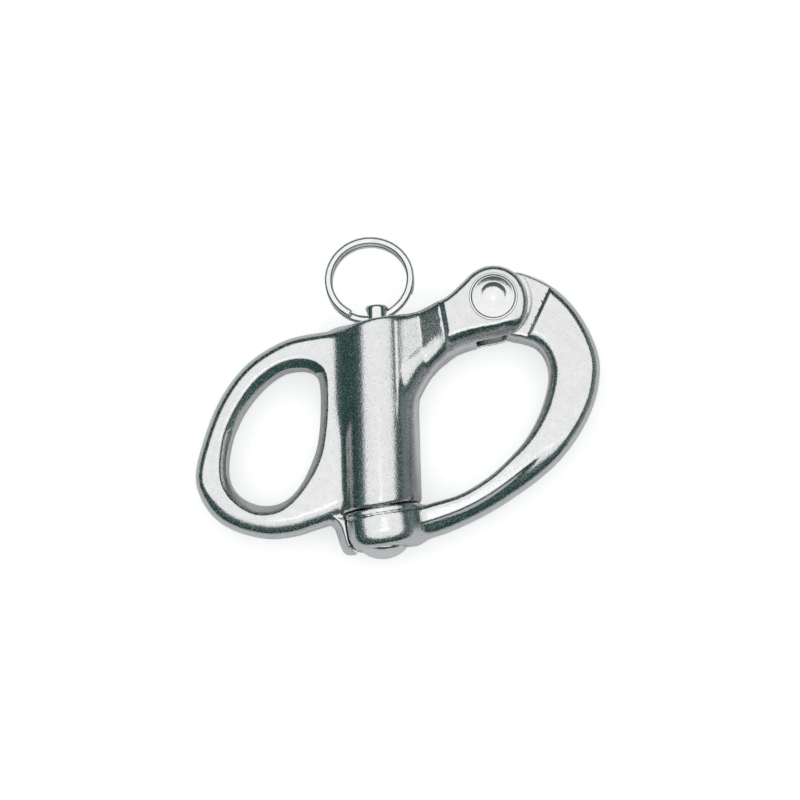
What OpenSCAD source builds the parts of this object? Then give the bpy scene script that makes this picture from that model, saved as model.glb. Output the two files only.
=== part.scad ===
// Snap shackle with a fixed eye and a spring plunger, in millimetres.
// X runs from the eye to the bail, Y runs along the plunger towards the pull ring,
// Z is square to the flat faces. The origin is the centre of the fixed eye.

/* [Barrel] */
// Distance from the eye's centre to the plunger's axis
plunger_x = 17.5; // [17:0.1:18]
// Outer radius of the barrel
barrel_r = 6.6; // [6.2:0.1:7]
// Height of the barrel's top on the plunger's axis
barrel_top = 18.9; // [18.5:0.1:19.5]
// Slope of the barrel's top, rising towards the bail
top_slope = 9.6; // [8:0.1:11]
// Height of the seat under the barrel, on the plunger's axis
seat_y = -12.15; // [-12.5:0.05:-11.8]
// Slope of the seat, rising towards the bail
seat_slope = 7.6; // [6:0.1:9]

/* [Fixed eye] */
// Thickness of the eye and its web
eye_thick = 6.4; // [5.5:0.1:7]
// Rounding of the eye's edges
eye_round = 1.6; // [1:0.1:2]

/* [Fork and bail] */
// Distance from the eye's centre to the bail's pivot, along X
pivot_x = 37; // [36.8:0.1:37.2]
// Height of the bail's pivot
pivot_y = 21.8; // [21.6:0.1:22]
// Width across the fork's two ears
fork_width = 11.2; // [10.6:0.1:12]
// Half thickness of the shoulder from which the ears step down
shoulder_half = 6.3; // [6.1:0.1:7]
// Width of the slot between the ears
slot_width = 5.8; // [5.4:0.1:6.2]
// Direction in which the slot opens
slot_angle = 18; // [14:1:22]
// Rounding of the fork's edges
fork_round = 1.7; // [1:0.1:2]
// Thickness of the bail's bar
bail_thick = 7; // [6.4:0.1:7.4]
// Rounding of the bail's edges
bail_round = 1.6; // [1:0.1:2]
// Distance from the pivot to the step where the bail thins to a tongue
tongue_reach = 8.1; // [7.9:0.1:8.4]
// Radius of the tongue's end
tongue_r = 4.85; // [4.6:0.05:4.9]
// Outer radius of the bail's end boss
boss_r = 6.3; // [6:0.1:6.5]
// Height of the bail's end boss
boss_height = 6.3; // [5.8:0.1:6.6]

/* [Rivet] */
// Radius of the rivet's shank
rivet_r = 2.4; // [2:0.1:2.8]
// Radius of the rivet's heads
rivet_head_r = 4; // [3.6:0.1:4.2]
// Height of the rivet's heads
rivet_head_h = 1.5; // [1:0.1:1.8]

/* [Plunger, spring and ring] */
// Radius of the pin that locks the bail
pin_r = 3.85; // [3.5:0.05:4]
// Radius of the stem that comes out at the top
stem_r = 1.95; // [1.8:0.05:2.1]
// Lowest point of the pin's domed tip
pin_tip = -20.3; // [-20.6:0.1:-20]
// Top of the stem
stem_top = 22.1; // [22:0.1:22.6]
// Height of the stem's cross hole, which holds the ring
ring_hole_y = 20; // [19.9:0.1:20.3]
// Wire diameter of the spring
spring_wire = 0.75; // [0.6:0.05:0.8]
// Number of coils in the spring
spring_coils = 6; // [5:0.5:6.5]
// Outer radius of the pull ring
ring_r = 7.55; // [7.2:0.05:7.8]
// Width of the ring's wire
ring_wire = 1.25; // [1:0.05:1.3]
// Angle at which the ring leans back
ring_lean = 8; // [0:1:20]

/* [Hidden] */
$fn = 64;

steel = [0.78, 0.79, 0.78];
dark_steel = [0.55, 0.57, 0.57];
// Longer than any way through the shackle
reach = 60;
overrun = 1;
curve_steps = 3;

// Clearances
bore_gap = 0.08;
face_gap = 0.12;
rivet_gap = 0.02;
head_gap = 0.01;
boss_clear = 0.02;
boss_hole_gap = 0.2;
spring_gap = 0.05;

// Fork, its slot and the bail's tongue
pivot = [pivot_x, pivot_y, 0];
slot_floor = tongue_r + 0.2;
tongue_half = slot_width / 2 - 0.1;
tongue_way = -26.6;
shoulder_slope = 8.5;
shoulder_inset = 1;

// Bail's boss and the finger beside it
boss_round = 2;
boss_corner = 0.5;
boss_step = 2;
finger_half = 2.4;
finger_round = 0.8;

// Chamber in the barrel, and the plunger and spring inside it
bore_r = pin_r + bore_gap;
stem_hole_r = stem_r + bore_gap;
chamber_top = 15.9;
shoulder_y = 1.5;
pin_corner = 0.4;
pin_dome = 1.7;
stem_round = 0.6;
spring_mean_r = (bore_r + stem_r) / 2 - spring_gap;
spring_steps = 15;

// Heads of the rivet: how far they have come in at each share of their height
head_steps = [[0, 0.23], [0.09, 0.4], [0.15, 0.73], [0.28, 1]];

// Split ring: it hangs in its hole a little to one side of its lowest point
ring_hole_r = 1.05;
ring_hole_flare = 0.8;
ring_flare_from = 0.5;
ring_flare_depth = 2;
ring_mid_r = ring_r - ring_wire / 2;
ring_off = 9.4;
ring_gap = 0.06;
ring_lift = (ring_wire + ring_gap) / 2;
ring_jog = 38;
ring_near_turn = 322;
ring_far_turn = 298;
ring_step = 8;
wire_sides = 8;

// Outer edge of the eye, from the barrel's top round to the barrel's foot
eye_outline = [
    [13, 17.8], [7.6, 17.6], [1.8, 16.4], [-4, 13], [-8.2, 8.1], [-11, 2.3], [-13.1, -5],
    [-12.4, -9.3], [-10, -12.9], [-6.2, -15.2], [-1.3, -16.4], [3.2, -16.1], [6.4, -15.2], [9, -14.4],
    [10.8, -13.6]
];
// Points inside the barrel that close that outline
eye_close = [[13.5, -12], [14, 16]];
// Edge of the eye's opening
eye_hole = [
    [7.8, 4.6], [7.7, 9], [6.6, 11], [4.2, 11.6], [1.2, 11], [-2.3, 8.3], [-5.5, 4.2], [-7.3, -0.5],
    [-7.9, -4.8], [-7.1, -7.8], [-4.7, -10.1], [-1.5, -11], [1.8, -10.3], [4.2, -8], [6.1, -4.3], [7.3, -0.6]
];
// Lower edge of the fork, round its end and back along its upper edge
fork_outline = [
    [20.4, -1], [23.1, 3.8], [24.9, 7.4], [26.9, 10.4], [29.4, 12.6], [32, 13.8], [35.2, 14.6], [38.2, 15.1],
    [40.5, 16.2], [42.1, 18.2], [42.7, 20.8], [42.3, 23.4], [40.9, 25.7], [38.7, 27], [36.2, 27.2],
    [33.8, 26.2], [31.6, 24.2], [29.2, 22.2], [26.4, 20.7], [23, 19.7], [19, 18.8]
];
// Points inside the barrel that close that outline
fork_close = [[15.5, 14], [15.5, 2]];
// The shoulder's section: it climbs from the barrel, and X is measured along the fork from its crest
shoulder_section = [[-9, 0], [-9, 4.8], [-1, shoulder_half], [0, shoulder_half], [1.2, 5], [1.2, 0]];
shoulder_crest = [28.3, 15, 0];
// Inner edge of the bail, from the tongue to the boss
bail_inner = [
    [38.2, 17.8], [39.4, 15.7], [41.6, 15], [43.9, 14], [45.3, 12], [45.8, 9.4], [45.2, 6.2],
    [43.8, 2.4], [41.6, -1.4], [39, -4.3], [35.3, -7.5], [30.6, -10.2], [25.7, -11.6], [22, -12.6]
];
// Outer edge of the bail, from the boss back to the tongue
bail_outer = [
    [20, -18.1], [25.6, -17.1], [29.9, -15.7], [35, -13.4], [39.9, -10.5], [44, -7.6], [47.7, -4.2],
    [51.1, 0.3], [53.3, 4.9], [54.2, 9.5], [53.9, 12.8], [52.5, 16.7], [50.2, 20.6], [47.1, 23.8],
    [43.7, 25.8], [40.6, 26.7], [38, 26.1]
];
// Stop finger beside the bail's boss
finger_outline = [
    [8, -12], [9.2, -14.6], [9.8, -15.6], [10.6, -18.2], [11.4, -19.4], [13, -19.5], [14, -18.6]
];
finger_close = [[14, -13], [10, -11]];

// Points of a smooth curve through a list of points
function on_curve(a, b, c, d, t) =
    0.5 * (2 * b + (c - a) * t + (2 * a - 5 * b + 4 * c - d) * t * t + (3 * b - a - 3 * c + d) * t * t * t);
function open_curve(p, n) = [
    for (i = [0:len(p) - 2], k = [0:n - 1])
        on_curve(p[max(i - 1, 0)], p[i], p[i + 1], p[min(i + 2, len(p) - 1)], k / n),
    p[len(p) - 1]
];
function closed_curve(p, n) = [
    for (i = [0:len(p) - 1], k = [0:n - 1])
        on_curve(p[(i + len(p) - 1) % len(p)], p[i], p[(i + 1) % len(p)], p[(i + 2) % len(p)], k / n)
];

// A loop's points moved sideways by d, towards its inside when it runs anticlockwise
function unit(v) = v / norm(v);
function inward(p, i) = let (d = unit(p[(i + 1) % len(p)] - p[(i + len(p) - 1) % len(p)])) [-d[1], d[0]];
function inset(p, d) = [for (i = [0:len(p) - 1]) p[i] + d * inward(p, i)];

// A plate between z = -half and half, stepped in at its edges to follow their rounding
module plate(loop, half, round) {
    for (a = [15, 40, 65, 90])
        linear_extrude(2 * (half - round * (1 - cos(a - 15))), center = true)
            polygon(inset(loop, round * (1 - sin(a))));
}
// A hole through such a plate, stepped out at its edges
module hole(loop, half, round) {
    linear_extrude(2 * half + 2 * overrun, center = true) polygon(loop);
    for (a = [15, 40, 65], side = [0, 1])
        mirror([0, 0, side]) translate([0, 0, half - round * (1 - cos(a + 10))])
            linear_extrude(round) polygon(inset(loop, -round * (1 - sin(a))));
}

// A cylinder along Y about the plunger's axis
module along_plunger(r, low, high) {
    translate([plunger_x, low, 0]) rotate([-90, 0, 0]) cylinder(r = r, h = high - low);
}
// The space above a sloping plane that crosses the plunger's axis at the given height
module above(height, slope) {
    translate([plunger_x, height, 0]) rotate([0, 0, slope])
        translate([-reach / 2, 0, -reach / 2]) cube(reach);
}
// The space below such a plane
module below(height, slope) {
    translate([plunger_x, height, 0]) rotate([0, 0, slope])
        translate([-reach / 2, -reach, -reach / 2]) cube(reach);
}
// A cylinder about the pivot's axis, between z = -half and half
module pivot_cylinder(r, half) {
    translate(pivot) cylinder(r = r, h = 2 * half, center = true);
}

// The boss at the bail's end, square to the seat; grow makes it larger all round
module boss_blank(grow) {
    r = boss_r + grow;
    deep = boss_height + 2 * grow;
    profile = concat(
        [[0, 0], [r - boss_corner, 0], [r, boss_corner]],
        [for (a = [0:22.5:90]) [r - boss_round * (1 - cos(a)), deep - boss_round * (1 - sin(a))]],
        [[0, deep]]
    );
    translate([plunger_x, seat_y - face_gap + grow, 0]) rotate([90, 0, seat_slope])
        rotate_extrude() polygon(profile);
}

// Room for the boss, at rest and as it swings away
module boss_path() {
    for (swing = [0:boss_step:4 * boss_step])
        translate(pivot) rotate([0, 0, swing]) translate(-pivot) boss_blank(face_gap + boss_clear);
}

module eye_and_finger() {
    difference() {
        union() {
            plate(concat(open_curve(eye_outline, curve_steps), eye_close), eye_thick / 2, eye_round);
            plate(concat(open_curve(finger_outline, curve_steps), finger_close), finger_half, finger_round);
        }
        boss_path();
        hole(closed_curve(eye_hole, curve_steps), eye_thick / 2, eye_round);
    }
}

module barrel() {
    difference() {
        along_plunger(barrel_r, seat_y - 3 * overrun, barrel_top + 3 * overrun);
        below(seat_y, seat_slope);
        above(barrel_top, top_slope);
    }
}

module fork() {
    loop = concat(open_curve(fork_outline, curve_steps), fork_close);
    plate(loop, fork_width / 2, fork_round);
    intersection() {
        linear_extrude(2 * fork_width, center = true) polygon(inset(loop, shoulder_inset));
        for (side = [0, 1])
            mirror([0, 0, side]) translate(shoulder_crest) rotate([90, 0, shoulder_slope])
                linear_extrude(reach, center = true) polygon(shoulder_section);
    }
}

module body() {
    color(steel) difference() {
        union() {
            eye_and_finger();
            barrel();
            fork();
        }
        translate(pivot) rotate([0, 0, slot_angle])
            translate([-slot_floor, -reach / 2, -slot_width / 2]) cube([reach, reach, slot_width]);
        pivot_cylinder(rivet_r + rivet_gap, fork_width);
        along_plunger(bore_r, seat_y - 5 * overrun, chamber_top);
        along_plunger(stem_hole_r, chamber_top - overrun, barrel_top + 5 * overrun);
    }
}

module bail() {
    bar = concat(open_curve(bail_inner, curve_steps), open_curve(bail_outer, curve_steps));
    color(steel) difference() {
        union() {
            plate(bar, bail_thick / 2, bail_round);
            boss_blank(0);
            pivot_cylinder(tongue_r, tongue_half);
        }
        for (side = [0, 1])
            mirror([0, 0, side]) translate(pivot) rotate([0, 0, tongue_way])
                translate([-tongue_reach, -tongue_reach, tongue_half])
                    cube([2 * tongue_reach, 2 * tongue_reach, bail_thick]);
        pivot_cylinder(rivet_r + bore_gap, bail_thick);
        along_plunger(pin_r + boss_hole_gap, pin_tip - overrun, 0);
    }
}

// The profile runs from the rivet's middle to one head, and the other half mirrors it
module pivot_rivet() {
    under_head = fork_width / 2 + head_gap;
    half = concat(
        [[0, 0], [rivet_r, 0], [rivet_r, under_head], [rivet_head_r, under_head]],
        [for (s = head_steps) [rivet_head_r * (1 - s[0]), under_head + rivet_head_h * s[1]]],
        [[0, under_head + rivet_head_h]]
    );
    color(steel) translate(pivot) for (side = [0, 1])
        mirror([0, 0, side]) rotate_extrude() polygon(half);
}

module plunger() {
    dome_r = (pin_r * pin_r + pin_dome * pin_dome) / (2 * pin_dome);
    sweep = asin(pin_r / dome_r);
    dome_steps = 6;
    profile = concat(
        [
            for (i = [0:dome_steps])
                let (a = sweep * i / dome_steps) [dome_r * sin(a), pin_tip + dome_r * (1 - cos(a))]
        ],
        [[pin_r, shoulder_y - pin_corner], [pin_r - pin_corner, shoulder_y], [stem_r, shoulder_y]],
        [for (a = [0:30:90]) [stem_r - stem_round * (1 - cos(a)), stem_top - stem_round * (1 - sin(a))]],
        [[0, stem_top]]
    );
    color(steel) difference() {
        translate([plunger_x, 0, 0]) rotate([-90, 0, 0]) rotate_extrude() polygon(profile);
        translate([plunger_x, ring_hole_y, 0]) rotate([0, 90, 0]) {
            cylinder(r = ring_hole_r, h = 4 * pin_r, center = true);
            for (side = [0, 1])
                mirror([0, 0, side]) translate([0, 0, ring_flare_from])
                    cylinder(r1 = ring_hole_r, r2 = ring_hole_r + ring_hole_flare, h = ring_flare_depth);
        }
    }
}

// A wire swept through a list of centres; each ring of points lies along its two side directions
module wire(centres, across, along, half) {
    n = wire_sides;
    corners = [
        for (i = [0:n - 1])
            let (a = 360 * (i + 0.5) / n) half / cos(180 / n) * [cos(a), sin(a)]
    ];
    points = [
        for (i = [0:len(centres) - 1], c = corners)
            centres[i] + c[0] * across[i] + c[1] * along[i]
    ];
    last = len(centres) - 1;
    walls = [
        for (k = [0:last - 1], i = [0:n - 1])
            let (a = k * n + i, b = k * n + (i + 1) % n)
            each [[a, a + n, b], [b, a + n, b + n]]
    ];
    polyhedron(points, concat([[for (i = [0:n - 1]) i]], [[for (i = [n - 1:-1:0]) last * n + i]], walls));
}

module spring() {
    count = spring_steps * spring_coils;
    low = shoulder_y + spring_wire / 2 + spring_gap;
    high = chamber_top - spring_wire / 2 - spring_gap;
    out = [for (i = [0:count]) let (a = 360 * i / spring_steps) [cos(a), 0, sin(a)]];
    centres = [for (i = [0:count]) [plunger_x, low + (high - low) * i / count, 0] + spring_mean_r * out[i]];
    color(dark_steel) wire(centres, out, [for (o = out) [0, 1, 0]], spring_wire / 2);
}

// Two turns of wire side by side, joined where the wire crosses through the stem's hole
module pull_ring() {
    hung = [0, ring_hole_y, 0];
    hole_way = ring_off - 90;
    places = [for (i = [0:(ring_near_turn + ring_far_turn) / ring_step]) i * ring_step - ring_near_turn];
    out = [for (s = places) [cos(hole_way - s), sin(hole_way - s), 0]];
    middle = [plunger_x, ring_hole_y, 0] - ring_mid_r * [cos(hole_way), sin(hole_way), 0];
    side = [for (s = places) let (t = max(-1, min(1, s / ring_jog))) ring_lift * (t * t - 3) * t / 2];
    centres = [for (i = [0:len(places) - 1]) middle + ring_mid_r * out[i] + [0, 0, side[i]]];
    color(steel) translate(hung) rotate([-ring_lean, 0, 0]) translate(-hung)
        wire(centres, out, [for (s = places) [0, 0, -1]], ring_wire / 2);
}

body();
bail();
pivot_rivet();
plunger();
spring();
pull_ring();
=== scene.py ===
"""Looks of a fixed-eye snap shackle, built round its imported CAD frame.

Shapes are worked out in millimetres in the frame's own axes: X from the eye to the bail, Y along the
plunger towards the ring, Z square to the flat faces. They become metres when a mesh is made.
"""

import math

import bpy
import numpy as np
import openvdb
from mathutils import Matrix, Vector


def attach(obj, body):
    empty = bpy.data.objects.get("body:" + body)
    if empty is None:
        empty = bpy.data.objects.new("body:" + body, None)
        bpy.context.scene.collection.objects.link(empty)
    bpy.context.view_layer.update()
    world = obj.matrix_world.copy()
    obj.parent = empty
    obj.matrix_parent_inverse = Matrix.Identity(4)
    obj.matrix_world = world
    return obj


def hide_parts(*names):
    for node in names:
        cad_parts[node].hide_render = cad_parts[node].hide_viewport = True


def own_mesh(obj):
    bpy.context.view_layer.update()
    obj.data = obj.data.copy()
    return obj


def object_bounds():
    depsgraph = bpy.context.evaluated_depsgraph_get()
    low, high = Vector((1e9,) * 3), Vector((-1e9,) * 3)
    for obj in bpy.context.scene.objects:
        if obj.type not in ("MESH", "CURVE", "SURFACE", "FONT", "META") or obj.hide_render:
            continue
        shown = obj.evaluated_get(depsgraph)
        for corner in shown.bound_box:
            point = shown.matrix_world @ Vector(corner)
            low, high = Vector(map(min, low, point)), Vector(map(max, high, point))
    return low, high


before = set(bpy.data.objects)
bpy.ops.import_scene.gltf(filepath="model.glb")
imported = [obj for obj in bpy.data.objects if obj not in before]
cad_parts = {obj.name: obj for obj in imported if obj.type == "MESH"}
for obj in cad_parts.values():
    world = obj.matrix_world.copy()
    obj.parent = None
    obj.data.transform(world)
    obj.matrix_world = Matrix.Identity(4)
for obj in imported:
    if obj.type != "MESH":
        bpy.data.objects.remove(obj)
cad_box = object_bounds()

MM = 0.001

# ---------------------------------------------------------------- sizes, in millimetres

CELL = 0.16                # grid pitch of the castings
FINE_CELL = 0.11           # grid pitch of the plunger
BAND = 4                   # cells beyond which a distance counts as far away
THIN_OUT = 0.002           # how readily flat areas get larger triangles, 0 to 1

PLUNGER_X = 17.5
BARREL_R = 6.6
BARREL_TOP = 18.9
BARREL_EASE = 0.9          # width of the easing at both ends of the barrel
TOP_SLOPE = 9.6            # degrees
SEAT_Y = -12.15
SEAT_SLOPE = 7.6           # degrees
FACE_GAP = 0.12
ROOM_SWINGS = (0, 4, 8)    # degrees of the bail's swing at which the body leaves its boss room

EYE_HALF = 3.2
EYE_ROUND = 2.3            # how far the eye's outer edge is rounded, more at its foot
EYE_HOLE_ROUND = 1.0
EYE_BEVEL = 40             # degrees, all round the opening,
EYE_STEEP_BEVEL = 58       # degrees, nearer to the opening's wall
FINGER_HALF = 2.5          # half thickness at the stop finger's crest
FORK_HALF = 5.6
SHOULDER_LOW = 4.3         # half thickness of the fork at the foot of its climb
SHOULDER_HIGH = 7.35       # the height that the climb aims at; the step to the ears cuts it short
CLIMB_FROM = 24.9
CLIMB_TO = 31
BANK_FROM = 20.9           # where the slope that leaves the barrel starts,
BANK_TOP = 5.66            # its half thickness there
BANK_FALL = 0.33           # and how fast it falls
EAR_FROM = 29.9            # where the ears' faces start
EAR_STEP = 0.62            # slope of the step down to them
SLOT_HALF = 2.9
SLOT_ANGLE = 18            # degrees
SLOT_FLOOR = 5.05
PIVOT = (37.0, 21.8)

BAIL_HALF = 3.5
BAIL_ROUND = 2.3           # how far its edges are rounded where the bar is ground flat
GROUND_PROUD = 0.12        # how much of the rounded casting is ground off each flat face
BOSS_BLEND = 1.6           # width of the fillet between bar and boss
TONGUE_HALF = 2.8
TONGUE_R = 4.85
TONGUE_FLAT_R = 6.3        # out to here from the pivot the tongue is at its thinnest,
TONGUE_RISE = 0.12         # and beyond it each face is higher by this
TONGUE_REACH = 8.1         # from the pivot to the step where the bail gets its full thickness
TONGUE_WAY = -26.6         # degrees
TONGUE_STEP = 50           # degrees, the slope of that step
BOSS_R = 6.3
BOSS_HEIGHT = 6.3
BOSS_POWER = 2.4           # a little squarer than a circle, which is 2
BEAD_HALF = 0.5            # half height of the bead at the boss's upper edge
BOSS_HOLE_GAP = 0.2

RIVET_R = 2.4
RIVET_GAP = 0.02
RIVET_HEAD_R = 4.0
HEAD_GAP = 0.01
DOME_R = 2.2               # radius of the dome's foot on the rivet's head

PIN_R = 3.85
STEM_R = 1.95
BORE_GAP = 0.08
BORE_EASE = 0.3            # width of the easing at the edge of a bore
PIN_TIP = -20.3
PIN_DOME = 1.7
TURNED_EASE = 0.15         # width of the easing at the plunger's other edges
SHOULDER_Y = 1.5
SHOULDER_ROUND = 0.4
CHAMBER_TOP = 15.9
STEM_TOP = 22.1
STEM_ROUND = 0.6
RING_HOLE_Y = 20.0
RING_HOLE_R = 1.05
RING_HOLE_FLARE = 0.5      # how fast the hole widens outwards,
RING_HOLE_PLAIN = 1.0      # beyond this distance from the stem's axis

SPRING_WIRE = 0.75
SPRING_COILS = 6
SPRING_STEPS = 28          # pieces of mesh along one coil
SPRING_GAP = 0.05

RING_R = 7.54
RING_WIRE = 1.25
RING_COIL_GAP = 0.06
RING_LEAN = 8              # degrees
RING_HANG = 9.4            # degrees that the ring hangs to one side of its lowest point
RING_JOG = 38              # degrees of ring over which the wire crosses from coil to coil
RING_NEAR_TURN = 322       # degrees of ring from the stem's hole to the near coil's end
RING_FAR_TURN = 298        # and to the far coil's end
RING_STEP = 2.5            # degrees of ring along one piece of mesh

# Outer edge of the eye, from the barrel's top round to its foot
EYE_OUTLINE = [
    (13, 17.8), (7.6, 17.6), (1.8, 16.4), (-4, 13), (-8.2, 8.1), (-11, 2.3), (-13.07, -5),
    (-12.4, -9.3), (-10, -12.9), (-6.2, -15.2), (-1.3, -16.4), (3.2, -16.1), (6.4, -15.2),
    (9, -14.4), (10.8, -13.6),
]
EYE_HOLE = [
    (7.8, 4.6), (7.7, 9), (6.6, 11), (4.2, 11.6), (1.2, 11), (-2.3, 8.3), (-5.5, 4.2), (-7.3, -0.5),
    (-7.9, -4.8), (-7.1, -7.8), (-4.7, -10.1), (-1.5, -11), (1.8, -10.3), (4.2, -8), (6.1, -4.3),
    (7.3, -0.6),
]
# Where that opening meets the eye's flat faces
EYE_FACE_HOLE = [
    (9.2, 5.5), (9, 10.4), (7.4, 12.4), (4.9, 13.1), (2.3, 12.8), (-0.3, 11.7), (-3.2, 9.4),
    (-6, 5.6), (-8.2, 0.9), (-9, -4.2), (-8.6, -7.7), (-6.9, -10.3), (-4.3, -12.2),
    (-1.8, -12.8), (1, -12.3), (3.6, -10.4), (6.1, -7.2), (8, -3.4), (8.9, 1.2),
]
# Lower edge of the fork, round its end and back along its upper edge
FORK_OUTLINE = [
    (20.4, -1), (23.1, 3.8), (24.9, 7.4), (26.9, 10.4), (29.4, 12.6), (32, 13.8), (35.2, 14.6),
    (38.2, 15.1), (40.5, 16.2), (42.1, 18.2), (42.7, 20.8), (42.3, 23.4), (40.9, 25.7), (38.7, 27),
    (36.2, 27.2), (33.8, 26.2), (31.6, 24.2), (29.2, 22.2), (26.4, 20.9), (23, 19.8), (19, 18.8),
]
# Inner edge of the bail, from the tongue to the boss, and its outer edge, from the boss back
BAIL_INNER = [
    (38.2, 17.8), (39.4, 15.7), (41.6, 15), (43.9, 14), (45.3, 12), (45.8, 9.4), (45.2, 6.2),
    (43.8, 2.4), (41.6, -1.4), (39, -4.3), (35.3, -7.5), (30.6, -10.2), (25.7, -11.6), (22, -12.6),
]
BAIL_OUTER = [
    (20, -18.1), (25.6, -17.1), (29.9, -15.7), (35, -13.4), (39.9, -10.5), (44, -7.6), (47.7, -4.2),
    (51.1, 0.3), (53.3, 4.9), (54.19, 9.5), (53.9, 12.8), (52.5, 16.7), (50.2, 20.6), (47.1, 23.8),
    (43.7, 25.8), (40.6, 26.7), (38, 26.1),
]
FINGER_OUTLINE = [
    (8, -12), (9.2, -14.6), (9.8, -15.6), (10.6, -18.2), (11.4, -19.4), (13, -19.5), (14, -18.6),
]


# ---------------------------------------------------------------- smooth outlines

def curve(points, closed=False, steps=8):
    """Points of a smooth curve through the given ones."""
    p = np.array(points, float)
    count = len(p)
    spans = count if closed else count - 1
    made = []
    for i in range(spans):
        if closed:
            a, b, c, d = (p[(i + k) % count] for k in (-1, 0, 1, 2))
        else:
            a, b, c, d = p[max(i - 1, 0)], p[i], p[i + 1], p[min(i + 2, count - 1)]
        for t in np.arange(steps) / steps:
            made.append(0.5 * (2 * b + (c - a) * t + (2 * a - 5 * b + 4 * c - d) * t * t
                               + (3 * b - a - 3 * c + d) * t ** 3))
    if not closed:
        made.append(p[-1])
    return np.array(made)


# ---------------------------------------------------------------- distance fields

class Grid:
    """Sample places over a box that lies evenly about z = 0: columns x and y are flat, z is upright.

    Only z >= 0 is worked out, because the castings are the same on both flat sides.
    """

    def __init__(self, low, high, top, cell):
        self.cell = cell
        self.low = np.array(low, float)
        xs = low[0] + cell * np.arange(int((high[0] - low[0]) / cell) + 1)
        ys = low[1] + cell * np.arange(int((high[1] - low[1]) / cell) + 1)
        zs = cell * np.arange(int(top / cell) + 1)
        columns = np.meshgrid(xs, ys, indexing="ij")
        self.flat_x, self.flat_y = (a.astype(np.float32) for a in columns)
        self.x = self.flat_x[:, :, None]
        self.y = self.flat_y[:, :, None]
        self.z = zs[None, None, :].astype(np.float32)

    def about(self, place, degrees):
        """x and y measured from a place, along axes turned by an angle."""
        c, s = math.cos(math.radians(degrees)), math.sin(math.radians(degrees))
        dx, dy = self.x - place[0], self.y - place[1]
        return c * dx + s * dy, -s * dx + c * dy

    def outline(self, points):
        """Distance to a closed outline in the flat, negative inside it."""
        x, y = self.flat_x, self.flat_y
        nearest = np.full(x.shape, np.inf, np.float32)
        inside = np.zeros(x.shape, bool)
        for (ax, ay), (bx, by) in zip(points, np.roll(points, -1, axis=0)):
            ex, ey = bx - ax, by - ay
            length2 = ex * ex + ey * ey
            if length2 < 1e-12:
                continue
            t = np.clip(((x - ax) * ex + (y - ay) * ey) / length2, 0, 1)
            nearest = np.minimum(nearest, (x - ax - t * ex) ** 2 + (y - ay - t * ey) ** 2)
            if abs(ey) > 1e-9:
                inside ^= ((ay > y) != (by > y)) & (x < ax + ex * (y - ay) / ey)
        return (np.where(inside, -1, 1) * np.sqrt(nearest))[:, :, None].astype(np.float32)


def ramp(value, start, end):
    """0 before start, 1 after end, and smooth between."""
    t = np.clip((value - start) / (end - start), 0, 1)
    return t * t * (3 - 2 * t)


def join(a, b, blend):
    """Both shapes, with a fillet of about the given width where they meet."""
    near = np.clip(1 - np.abs(a - b) / blend, 0, 1)
    return np.minimum(a, b) - near * near * blend / 4


def cut(a, tool, blend=0.12):
    """The first shape without the second, its edges eased a little."""
    return -join(-a, tool, blend)


def keep(a, tool, blend=0.12):
    """What both shapes hold, its edges eased a little."""
    return -join(-a, -tool, blend)


def plate(edge, z, half, flat_round, tall_round):
    """A plate whose edges follow part of an ellipse: edge is the distance outside its outline."""
    across = np.maximum(edge + flat_round, 0) / flat_round
    up = np.maximum(z - half + tall_round, 0) / tall_round
    rounded = (np.hypot(across, up) - 1) * np.minimum(flat_round, tall_round)
    inner = np.maximum(edge, z - half)
    return np.where((across > 0) & (up > 0), rounded, inner)


def polished_plate(edge, z, half, flat_round, tall_round, proud=GROUND_PROUD):
    """A round-edged plate ground flat, so that its faces end in a crisp line."""
    return keep(plate(edge, z, half + proud, flat_round, tall_round), z - half, 0.08)


def chamfer(a, edge, z, half, degrees):
    """The shape with its face bevelled down, at an angle, beyond an edge drawn on the face."""
    angle = np.radians(degrees)
    return keep(a, (z - half + np.tan(angle) * edge) * np.cos(angle), 0.15)


def incline(value, start, end, ease):
    """A straight climb from 0 at start to 1 at end, with eased ends."""
    return 0.5 + (np.hypot(value - start, ease) - np.hypot(value - end, ease)) / (2 * (end - start))


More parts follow.
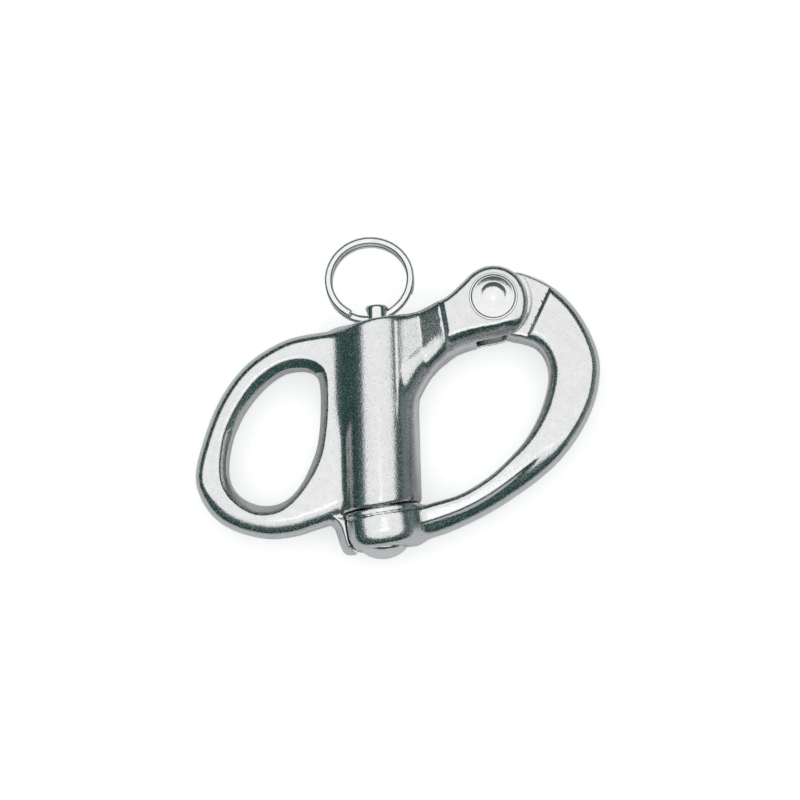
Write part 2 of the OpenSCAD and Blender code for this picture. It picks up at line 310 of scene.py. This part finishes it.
def mesh_of(name, grid, field):
    """The surface where a field is zero, mirrored to the lower side, as a smooth mesh."""
    whole = np.concatenate([field[:, :, :0:-1], field], axis=2).astype(np.float32)
    limit = BAND * grid.cell
    whole = np.clip(whole, -limit, limit)
    volume = openvdb.FloatGrid(limit)
    volume.copyFromArray(whole)
    points, triangles, quads = volume.convertToPolygons(0.0, THIN_OUT)
    points = np.array(points, float)
    layers = field.shape[2] - 1

    slopes = np.gradient(whole)

    def sample(values, at):
        base = np.clip(np.floor(at).astype(int), 0, np.array(values.shape) - 2)
        part = at - base
        total = 0
        for i in (0, 1):
            for j in (0, 1):
                for k in (0, 1):
                    weight = (np.abs(1 - i - part[:, 0]) * np.abs(1 - j - part[:, 1])
                              * np.abs(1 - k - part[:, 2]))
                    total = total + weight * values[base[:, 0] + i, base[:, 1] + j, base[:, 2] + k]
        return total

    def slope(at):
        return np.stack([sample(s, at) for s in slopes], axis=1)

    # Two steps bring every point onto the surface itself
    for _ in range(2):
        direction = slope(points)
        steep = np.maximum((direction ** 2).sum(1), 0.02)
        step = -(sample(whole, points) / steep)[:, None] * direction
        points += np.clip(step, -0.4, 0.4)
    normals = slope(points)
    normals /= np.maximum(np.linalg.norm(normals, axis=1), 1e-9)[:, None]

    places = points * grid.cell + np.array([grid.low[0], grid.low[1], -layers * grid.cell])
    mesh = bpy.data.meshes.new(name)
    mesh.from_pydata((places * MM).tolist(), [], [list(map(int, f)) for f in (*triangles, *quads)])
    mesh.validate()
    first = mesh.polygons[0]
    if normals[first.vertices[0]] @ np.array(first.normal) < 0:
        mesh.flip_normals()
    mesh.shade_smooth()
    mesh.normals_split_custom_set_from_vertices(normals.tolist())
    return mesh


def place(mesh, body, node, slot, material):
    """The mesh as a piece that rides on a body and stands for a CAD node."""
    piece = bpy.data.objects.new(mesh.name, mesh)
    bpy.context.scene.collection.objects.link(piece)
    mesh.materials.append(material)
    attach(piece, body)
    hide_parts(node)
    return piece


# ---------------------------------------------------------------- the two castings

def boss_shape(grid, grow=0.0, swing=0.0):
    """The bail's end boss, square to the seat, or the same swung back from it about the pivot."""
    c, s = math.cos(math.radians(-swing)), math.sin(math.radians(-swing))
    dx, dy = grid.x - PIVOT[0], grid.y - PIVOT[1]
    x, y = PIVOT[0] + c * dx - s * dy, PIVOT[1] + s * dx + c * dy
    tilt = math.radians(SEAT_SLOPE)
    dx, dy = x - PLUNGER_X, y - (SEAT_Y - FACE_GAP + grow)
    side = math.cos(tilt) * dx + math.sin(tilt) * dy
    down = math.sin(tilt) * dx - math.cos(tilt) * dy
    squared = np.abs(side) ** BOSS_POWER + (1.03 * grid.z) ** BOSS_POWER
    out = squared ** (1 / BOSS_POWER) - (BOSS_R + grow)
    deep = BOSS_HEIGHT + 2 * grow
    # Next to the seat the boss has a low, round bead
    bead = plate(out, np.abs(down - BEAD_HALF) - BEAD_HALF, 0, 0.3, 0.3)
    top = plate(out, 2 * BEAD_HALF - down, 0, 0.35, 0.5)
    foot = plate(out, down - deep, 0, 2.0, 2.6)
    core = np.maximum(out + 0.6, np.maximum(-down, down - 2))
    return np.minimum(np.minimum(bead, core), np.maximum(top, foot))


def body_field(grid):
    x, y, z = grid.x, grid.y, grid.z
    above_seat = grid.about((PLUNGER_X, SEAT_Y), SEAT_SLOPE)[1]
    above_top = grid.about((PLUNGER_X, BARREL_TOP), TOP_SLOPE)[1]
    radius = np.hypot(x - PLUNGER_X, z)

    # The eye and its web are one flat bar, whose opening flares to a wider edge in its faces
    outside = grid.outline(np.vstack([curve(EYE_OUTLINE), [(13.5, -12), (14, 16)]]))
    opening = -grid.outline(curve(EYE_HOLE, closed=True))
    face_opening = -grid.outline(curve(EYE_FACE_HOLE, closed=True))
    at_foot = 1 - ramp(y, -12, -7)
    eye = polished_plate(outside, z, EYE_HALF, EYE_ROUND + 1.1 * at_foot, EYE_ROUND + 0.5 * at_foot)
    eye = np.maximum(eye, plate(opening, z, EYE_HALF, EYE_HOLE_ROUND, EYE_HOLE_ROUND))
    # The opening's bevel is one broad slope at its upper left, and turns steep all round the rest
    broad = ramp(y - 0.6 * x, 5.5, 8)
    eye = chamfer(eye, face_opening, z, EYE_HALF, EYE_BEVEL)
    eye = chamfer(eye, face_opening - 0.25 - 2.5 * broad, z, EYE_HALF, EYE_STEEP_BEVEL)
    # The stop finger is a steep rib, whose crest is close beside the boss. The 0.55 makes its slope
    # measure distance, as the other shapes do.
    rib = grid.outline(np.vstack([curve(FINGER_OUTLINE), [(14, -13)]]))
    finger = keep(keep(rib, (z - 0.5 + 1.5 * rib) * 0.55, 0.5), z - FINGER_HALF, 0.3)
    eye = join(eye, finger, 0.8)

    # The fork climbs from beside the barrel to a crest, and its two ears are ground down from that
    edge = grid.outline(np.vstack([curve(FORK_OUTLINE), [(15.5, 14), (15.5, 2)]]))
    # Its edges are rounder where lower is 1, along the side towards the bail
    lower = (1 - ramp(y - 0.1 * (x - 30), 15.5, 19.5)) * (1 - ramp(x, 38.5, 42))
    along = x + 0.15 * (y - 15)
    low = SHOULDER_LOW + 1.1 * (1 - ramp(y, 10.5, 15.5))
    top = low + (SHOULDER_HIGH - low) * incline(along, CLIMB_FROM, CLIMB_TO, 0.08)
    from_bank = x - BANK_FROM
    bank = BANK_TOP - BANK_FALL * np.maximum(from_bank, 0) + np.minimum(from_bank, 0)
    to_ear = along - EAR_FROM
    top = np.minimum(np.maximum(top, bank), FORK_HALF - EAR_STEP * np.minimum(to_ear, 0))
    flat_round, tall_round = 1.5 + 2.5 * lower, 1.3 + 3.1 * lower
    shoulder = np.maximum(plate(edge, z, top, flat_round, tall_round), to_ear - 0.2)
    ear = polished_plate(edge, z, FORK_HALF, flat_round, tall_round + lower, 0.08 + 0.3 * lower)
    ear = np.maximum(ear, -to_ear - 1)
    fork = np.maximum(join(shoulder, ear, 0.1), PLUNGER_X - x)

    barrel = keep(radius - BARREL_R, -above_seat, BARREL_EASE)
    barrel = keep(barrel, above_top, BARREL_EASE)
    # The fillet beside the eye grows upwards, and the one beside the fork shrinks
    shape = join(eye, barrel, 1.2 + 1.4 * ramp(y, -2, 6))
    shape = join(shape, fork, 1.6 - 1.2 * ramp(y, 2, 7))

    # Room for the boss, then the slot, the rivet's hole and the plunger's bore
    for swing in ROOM_SWINGS:
        shape = cut(shape, boss_shape(grid, FACE_GAP + 0.02, swing), BORE_EASE)
    reach = grid.about(PIVOT, SLOT_ANGLE)[0]
    shape = cut(shape, np.maximum(z - SLOT_HALF, -reach - SLOT_FLOOR))
    shape = cut(shape, np.hypot(x - PIVOT[0], y - PIVOT[1]) - RIVET_R - RIVET_GAP)
    shape = cut(shape, np.maximum(radius - PIN_R - BORE_GAP, y - CHAMBER_TOP), BORE_EASE)
    return cut(shape, radius - STEM_R - BORE_GAP, BORE_EASE)


def bail_field(grid):
    x, y, z = grid.x, grid.y, grid.z
    inner, outer = curve(BAIL_INNER), curve(BAIL_OUTER)
    bar_edge = grid.outline(np.vstack([inner, outer]))
    # The bar is ground flat at its thick side and turns round towards the boss
    rounder = 1 - ramp(x + 0.35 * y, 36, 48)
    to_outer = np.min([np.hypot(x - px, y - py) for px, py in outer], axis=0)
    to_inner = np.min([np.hypot(x - px, y - py) for px, py in inner], axis=0)
    outer_side = ramp(to_inner - to_outer, -1.5, 1.5)
    inner_side = 1 - outer_side
    flat_round = BAIL_ROUND + rounder * (3.2 * outer_side - 1.2 * inner_side)
    tall_round = BAIL_ROUND + rounder * (1.1 * outer_side - 1.0 * inner_side)
    proud = GROUND_PROUD * (1 - rounder)
    bar = polished_plate(bar_edge, z, BAIL_HALF, flat_round, tall_round, proud)
    shape = join(bar, boss_shape(grid), BOSS_BLEND)
    about_pivot = np.hypot(x - PIVOT[0], y - PIVOT[1])
    beyond, aside = grid.about(PIVOT, TONGUE_WAY)
    thin = TONGUE_HALF + TONGUE_RISE * ramp(about_pivot, TONGUE_FLAT_R, TONGUE_FLAT_R + TONGUE_RISE)
    climb = math.radians(TONGUE_STEP)
    wall = (beyond - TONGUE_REACH) * math.sin(climb) - (z - BAIL_HALF) * math.cos(climb)
    step = np.maximum(np.maximum(wall, np.abs(aside) - TONGUE_REACH), thin - z)
    shape = cut(shape, step, 0.1)
    shape = join(shape, np.maximum(about_pivot - TONGUE_R, z - TONGUE_HALF), 0.1)
    shape = cut(shape, about_pivot - RIVET_R - BORE_GAP)
    hole = np.maximum(np.hypot(x - PLUNGER_X, z) - PIN_R - BOSS_HOLE_GAP, y)
    return cut(shape, hole, BORE_EASE)


# ---------------------------------------------------------------- turned and wound pieces

def plunger_field(grid):
    x, y, z = grid.x, grid.y, grid.z
    radius = np.hypot(x - PLUNGER_X, z)
    dome_r = (PIN_R ** 2 + PIN_DOME ** 2) / (2 * PIN_DOME)
    pin = plate(radius - PIN_R, y - SHOULDER_Y, 0, SHOULDER_ROUND, SHOULDER_ROUND)
    pin = keep(pin, np.hypot(radius, y - PIN_TIP - dome_r) - dome_r, TURNED_EASE)
    stem = plate(radius - STEM_R, y - STEM_TOP, 0, STEM_ROUND, STEM_ROUND)
    stem = np.maximum(stem, -y)
    shape = join(pin, stem, 0.3)
    hole = np.hypot(y - RING_HOLE_Y, z) - RING_HOLE_R
    flared = hole - RING_HOLE_FLARE * np.maximum(np.abs(x - PLUNGER_X) - RING_HOLE_PLAIN, 0)
    return cut(shape, flared, TURNED_EASE)


def lathe(name, profile, centre, around=96):
    """A closed mesh turned about Z from (radius, height) pairs that start and end on the axis."""
    turns = 2 * math.pi * np.arange(around) / around
    rows = profile[1:-1]
    vertices = [(centre[0], centre[1], profile[0][1])]
    for r, h in rows:
        vertices += [(centre[0] + r * math.cos(a), centre[1] + r * math.sin(a), h) for a in turns]
    vertices.append((centre[0], centre[1], profile[-1][1]))
    end = len(vertices) - 1
    faces = []
    for i in range(around):
        j = (i + 1) % around
        faces.append((0, 1 + j, 1 + i))
        faces.append((end, end - around + i, end - around + j))
        for k in range(len(rows) - 1):
            a = 1 + k * around
            faces.append((a + i, a + j, a + around + j, a + around + i))
    mesh = bpy.data.meshes.new(name)
    mesh.from_pydata([tuple(MM * c for c in v) for v in vertices], [], faces)
    mesh.shade_smooth()
    return mesh


def sweep(name, centres, across, along, section):
    """A closed wire: the section's points, laid across and along at each centre."""
    vertices = []
    for c, u, v in zip(centres, across, along):
        vertices += [tuple(MM * (c + p * u + q * v)) for p, q in section]
    n = len(section)
    last = len(centres) - 1
    faces = [tuple(range(n)), tuple(last * n + i for i in range(n - 1, -1, -1))]
    for k in range(last):
        for i in range(n):
            j = (i + 1) % n
            faces.append((k * n + i, (k + 1) * n + i, (k + 1) * n + j, k * n + j))
    mesh = bpy.data.meshes.new(name)
    mesh.from_pydata(vertices, [], faces)
    mesh.validate()
    mesh.shade_smooth()
    return mesh


def rounded_square(half_u, half_v, corner, steps=5):
    """A section's points: a rectangle with round corners."""
    made = []
    for quarter, (su, sv) in enumerate(((1, 1), (-1, 1), (-1, -1), (1, -1))):
        for i in range(steps + 1):
            a = math.radians(90 * (quarter + i / steps))
            made.append((su * (half_u - corner) + corner * math.cos(a),
                         sv * (half_v - corner) + corner * math.sin(a)))
    return made


def rivet_profile():
    """Half of the rivet: shank, thin flange, low step, shallow cone and domed crown."""
    face = FORK_HALF + HEAD_GAP
    # Pairs of radius and height above that face
    flange = [(RIVET_R, 0), (RIVET_HEAD_R, 0), (RIVET_HEAD_R, 0.08), (3.95, 0.14), (3.88, 0.16),
              (3.72, 0.17)]
    step = [(3.66, 0.2), (3.6, 0.4), (3.55, 0.46), (3.35, 0.48)]
    cone = [(3.25, 0.51), (2.4, 0.84), (2.28, 0.86)]
    dome_edge = math.radians(25)
    dome_r = DOME_R / math.sin(dome_edge)
    crown = [(dome_r * math.sin(a), 0.88 + dome_r * (math.cos(a) - math.cos(dome_edge)))
             for a in dome_edge * np.arange(1, 0, -0.14)]
    return [(r, face + h) for r, h in flange + step + cone + crown]


def rivet_mesh():
    half = rivet_profile()
    crown = half[-1][1] + 0.01
    profile = [(0, -crown)] + [(r, -h) for r, h in reversed(half)] + half + [(0, crown)]
    return lathe("rivet", profile, PIVOT)


def spring_mesh():
    turns = np.arange(SPRING_STEPS * SPRING_COILS + 1) * 2 * math.pi / SPRING_STEPS
    mean_r = (PIN_R + BORE_GAP + STEM_R) / 2 - SPRING_GAP
    low = SHOULDER_Y + SPRING_WIRE / 2 + SPRING_GAP
    high = CHAMBER_TOP - SPRING_WIRE / 2 - SPRING_GAP
    out = [np.array((math.cos(a), 0, math.sin(a))) for a in turns]
    share = turns / turns[-1]
    centres = [np.array((PLUNGER_X, low + (high - low) * t, 0)) + mean_r * o
               for t, o in zip(share, out)]
    up = [np.array((0, 1, 0))] * len(turns)
    section = rounded_square(SPRING_WIRE / 2, SPRING_WIRE / 2, SPRING_WIRE / 2)
    return sweep("coil_spring", centres, out, up, section)


def ring_mesh():
    """Two turns of wire side by side, joined where the wire crosses through the stem's hole."""
    places = np.arange(-RING_NEAR_TURN, RING_FAR_TURN + RING_STEP / 2, RING_STEP)
    hole_way = RING_HANG - 90
    mid_r = RING_R - RING_WIRE / 2
    lift = (RING_WIRE + RING_COIL_GAP) / 2
    ways = np.radians(hole_way - places)
    start = math.radians(hole_way)
    middle = np.array((PLUNGER_X, 0, 0)) - mid_r * np.array((math.cos(start), math.sin(start), 0))
    lean = np.array(Matrix.Rotation(math.radians(-RING_LEAN), 3, "X"))
    centres, out, over = [], [], []
    for place_now, way in zip(places, ways):
        t = max(-1, min(1, place_now / RING_JOG))
        o = np.array((math.cos(way), math.sin(way), 0))
        c = middle + mid_r * o + np.array((0, 0, lift * (t * t - 3) * t / 2))
        centres.append(lean @ c + np.array((0, RING_HOLE_Y, 0)))
        out.append(lean @ o)
        over.append(lean @ np.array((0, 0, -1)))
    # The wire's section is a flat oval; one of its corners is given, and the others mirror it
    corner = [(0.625, 0.28), (0.615, 0.36), (0.57, 0.43), (0.38, 0.565), (0.33, 0.59)]
    quarters = (((1, 1), 1), ((-1, 1), -1), ((-1, -1), 1), ((1, -1), -1))
    section = [(su * u, sv * v) for (su, sv), order in quarters for u, v in corner[::order]]
    return sweep("split_ring", centres, out, over, section)


# ---------------------------------------------------------------- materials

def steel(name, colour, dull, pit_size, pit_depth, ground_faces=False):
    """Stainless steel, whose colour and gloss drift, and whose pits fade where it is ground flat."""
    material = bpy.data.materials.new(name)
    material.use_nodes = True
    nodes, links = material.node_tree.nodes, material.node_tree.links
    shader = nodes["Principled BSDF"]
    shader.inputs["Metallic"].default_value = 1
    where = nodes.new("ShaderNodeTexCoord")

    def noise(scale, detail):
        made = nodes.new("ShaderNodeTexNoise")
        made.inputs["Scale"].default_value = scale
        made.inputs["Detail"].default_value = detail
        links.new(where.outputs["Object"], made.inputs["Vector"])
        return made.outputs["Fac"]

    def mapped(value, low, high, to_low, to_high):
        made = nodes.new("ShaderNodeMapRange")
        limits = {"From Min": low, "From Max": high, "To Min": to_low, "To Max": to_high}
        for socket, number in limits.items():
            made.inputs[socket].default_value = number
        links.new(value, made.inputs["Value"])
        return made.outputs["Result"]

    mottle = noise(700, 4)
    shade = nodes.new("ShaderNodeMix")
    shade.data_type = "RGBA"
    shade.inputs["A"].default_value = (*(0.95 * c for c in colour), 1)
    shade.inputs["B"].default_value = (*(min(1.03 * c, 1) for c in colour), 1)
    links.new(mapped(mottle, 0.3, 0.7, 0, 1), shade.inputs["Factor"])
    links.new(shade.outputs["Result"], shader.inputs["Base Color"])
    # Tiny pits scatter light, so that they show as grey specks where the steel mirrors the dark
    specks = mapped(noise(pit_size * 1.1, 1), 0.56, 0.64, 0, 0.35 if ground_faces else 0)
    gloss = nodes.new("ShaderNodeMath")
    gloss.operation = "ADD"
    links.new(mapped(mottle, 0.3, 0.7, dull * 0.7, dull * 1.3), gloss.inputs[0])
    links.new(specks, gloss.inputs[1])
    links.new(gloss.outputs["Value"], shader.inputs["Roughness"])

    bump = nodes.new("ShaderNodeBump")
    bump.inputs["Strength"].default_value = pit_depth
    bump.inputs["Distance"].default_value = 0.0001
    links.new(noise(pit_size, 2), bump.inputs["Height"])
    if ground_faces:
        split = nodes.new("ShaderNodeSeparateXYZ")
        links.new(where.outputs["Normal"], split.inputs["Vector"])
        size = nodes.new("ShaderNodeMath")
        size.operation = "ABSOLUTE"
        links.new(split.outputs["Z"], size.inputs[0])
        links.new(mapped(size.outputs["Value"], 0.97, 0.9995, pit_depth, pit_depth * 0.12),
                  bump.inputs["Strength"])
    links.new(bump.outputs["Normal"], shader.inputs["Normal"])
    return material


cast_steel = steel("cast_steel", (0.72, 0.72, 0.725), 0.08, 4500, 0.28, ground_faces=True)
turned_steel = steel("turned_steel", (0.8, 0.8, 0.79), 0.1, 3000, 0.1)
wire_steel = steel("wire_steel", (0.8, 0.81, 0.8), 0.07, 3000, 0.05)


# ---------------------------------------------------------------- pieces

grid = Grid((-14.5, -20.5), (43.6, 28), 7.2, CELL)
place(mesh_of("cast_body", grid, body_field(grid)),
      "shackle_body", "body", "cast_steel", cast_steel)
grid = Grid((10.6, -19.9), (55, 27.6), 7.2, CELL)
place(mesh_of("cast_bail", grid, bail_field(grid)),
      "bail", "bail", "cast_steel", cast_steel)
grid = Grid((PLUNGER_X - 4.4, PIN_TIP - 0.6), (PLUNGER_X + 4.4, STEM_TOP + 0.6), 4.3, FINE_CELL)
place(mesh_of("plunger_pin", grid, plunger_field(grid)),
      "plunger", "plunger", "turned_steel", turned_steel)
place(rivet_mesh(), "shackle_body", "pivot_rivet", "turned_steel", turned_steel)
coil = place(spring_mesh(), "shackle_body", "spring", "wire_steel", wire_steel)
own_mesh(coil)
place(ring_mesh(), "pull_ring", "pull_ring", "wire_steel", wire_steel)


# ---------------------------------------------------------------- studio, in metres

FLOOR_GAP = 0.0002


def floor(level):
    mesh = bpy.data.meshes.new("floor")
    size = 3.0
    corners = [(x * size, y * size, level) for x, y in ((-1, -1), (1, -1), (1, 1), (-1, 1))]
    mesh.from_pydata(corners, [], [(0, 1, 2, 3)])
    made = bpy.data.objects.new("floor", mesh)
    bpy.context.scene.collection.objects.link(made)
    material = bpy.data.materials.new("floor_paper")
    material.use_nodes = True
    nodes, links = material.node_tree.nodes, material.node_tree.links
    paper = nodes["Principled BSDF"]
    paper.inputs["Base Color"].default_value = (0.7, 0.7, 0.7, 1)
    paper.inputs["Roughness"].default_value = 0.9
    paper.inputs["Specular IOR Level"].default_value = 0.1
    paper.inputs["Emission Color"].default_value = (1, 1, 1, 1)
    paper.inputs["Emission Strength"].default_value = 0.58
    mirrored = nodes.new("ShaderNodeBsdfDiffuse")
    mirrored.inputs["Color"].default_value = (0.78, 0.78, 0.80, 1)
    either = nodes.new("ShaderNodeMixShader")
    rays = nodes.new("ShaderNodeLightPath")
    links.new(rays.outputs["Is Camera Ray"], either.inputs["Fac"])
    links.new(mirrored.outputs["BSDF"], either.inputs[1])
    links.new(paper.outputs["BSDF"], either.inputs[2])
    links.new(either.outputs["Shader"], nodes["Material Output"].inputs["Surface"])
    mesh.materials.append(material)


def area_light(name, place, size, strength, in_reflections=True, tall=None):
    lamp = bpy.data.lights.new(name, "AREA")
    lamp.shape = "RECTANGLE" if tall else "DISK"
    lamp.size = size
    lamp.size_y = tall or size
    lamp.energy = strength
    made = bpy.data.objects.new(name, lamp)
    made.location = place
    made.rotation_euler = (Vector((0.02, 0, 0)) - Vector(place)).to_track_quat("-Z", "Y").to_euler()
    made.visible_glossy = in_reflections
    bpy.context.scene.collection.objects.link(made)
    return made


def camera():
    """The viewpoint is just below the shackle's middle, and a little to its right."""
    data = bpy.data.cameras.new("camera")
    data.lens = 78.18
    data.sensor_width = 36
    data.shift_x = 0.003
    data.shift_y = -0.0073
    made = bpy.data.objects.new("camera", data)
    eye = Vector((0.032, -0.040, 0.285))
    target = Vector((0.0206, 0.007, 0))
    back = (eye - target).normalized()
    right = Vector((0, 1, 0)).cross(back).normalized()
    up = back.cross(right)
    roll = math.radians(1.6)
    turned_right = math.cos(roll) * right - math.sin(roll) * up
    turned_up = math.sin(roll) * right + math.cos(roll) * up
    turn = Matrix((turned_right, turned_up, back)).transposed()
    made.matrix_world = Matrix.Translation(eye) @ turn.to_4x4()
    bpy.context.scene.collection.objects.link(made)
    bpy.context.scene.camera = made


def surroundings():
    """A dark room, whose lower half is the light grey that the steel mirrors from below.

    Where the camera looks past the floor it sees a pale backdrop.
    """
    world = bpy.data.worlds.new("studio")
    world.use_nodes = True
    nodes, links = world.node_tree.nodes, world.node_tree.links
    where = nodes.new("ShaderNodeTexCoord")
    split = nodes.new("ShaderNodeSeparateXYZ")
    links.new(where.outputs["Generated"], split.inputs["Vector"])
    height = nodes.new("ShaderNodeMapRange")
    height.inputs["From Min"].default_value = -1
    links.new(split.outputs["Z"], height.inputs["Value"])
    bands = nodes.new("ShaderNodeValToRGB")
    links.new(height.outputs["Result"], bands.inputs["Fac"])
    seen = nodes.new("ShaderNodeMix")
    seen.data_type = "RGBA"
    seen.inputs["B"].default_value = (0.9, 0.9, 0.9, 1)
    links.new(nodes.new("ShaderNodeLightPath").outputs["Is Camera Ray"], seen.inputs["Factor"])
    links.new(bands.outputs["Color"], seen.inputs["A"])
    links.new(seen.outputs["Result"], nodes["Background"].inputs["Color"])
    # From 0, straight down, to 1, straight up
    stops = [(0.0, (0.20, 0.20, 0.205)), (0.44, (0.55, 0.55, 0.56)), (0.485, (0.5, 0.5, 0.51)),
             (0.515, (0.008, 0.024, 0.021)), (0.7, (0.036, 0.090, 0.080)), (1.0, (0.2, 0.2, 0.2))]
    ramp_stops = bands.color_ramp.elements
    ready = [ramp_stops[0], ramp_stops[1]] + [ramp_stops.new(0.5) for _ in stops[2:]]
    for (at, colour), stop in zip(stops, ready):
        stop.position = at
        stop.color = (*colour, 1)
    bpy.context.scene.world = world


floor(cad_box[0].z - FLOOR_GAP)
area_light("softbox", (0.02, 0.0, 0.6), 1.2, 3.3)
area_light("floor_fill", (0.02, 0.0, 0.9), 1.5, 2.2, in_reflections=False)
area_light("side_card", (0.62, 0.0, 0.13), 0.8, 0.08, tall=0.18)
camera()
surroundings()
bpy.context.scene.view_settings.view_transform = "Standard"
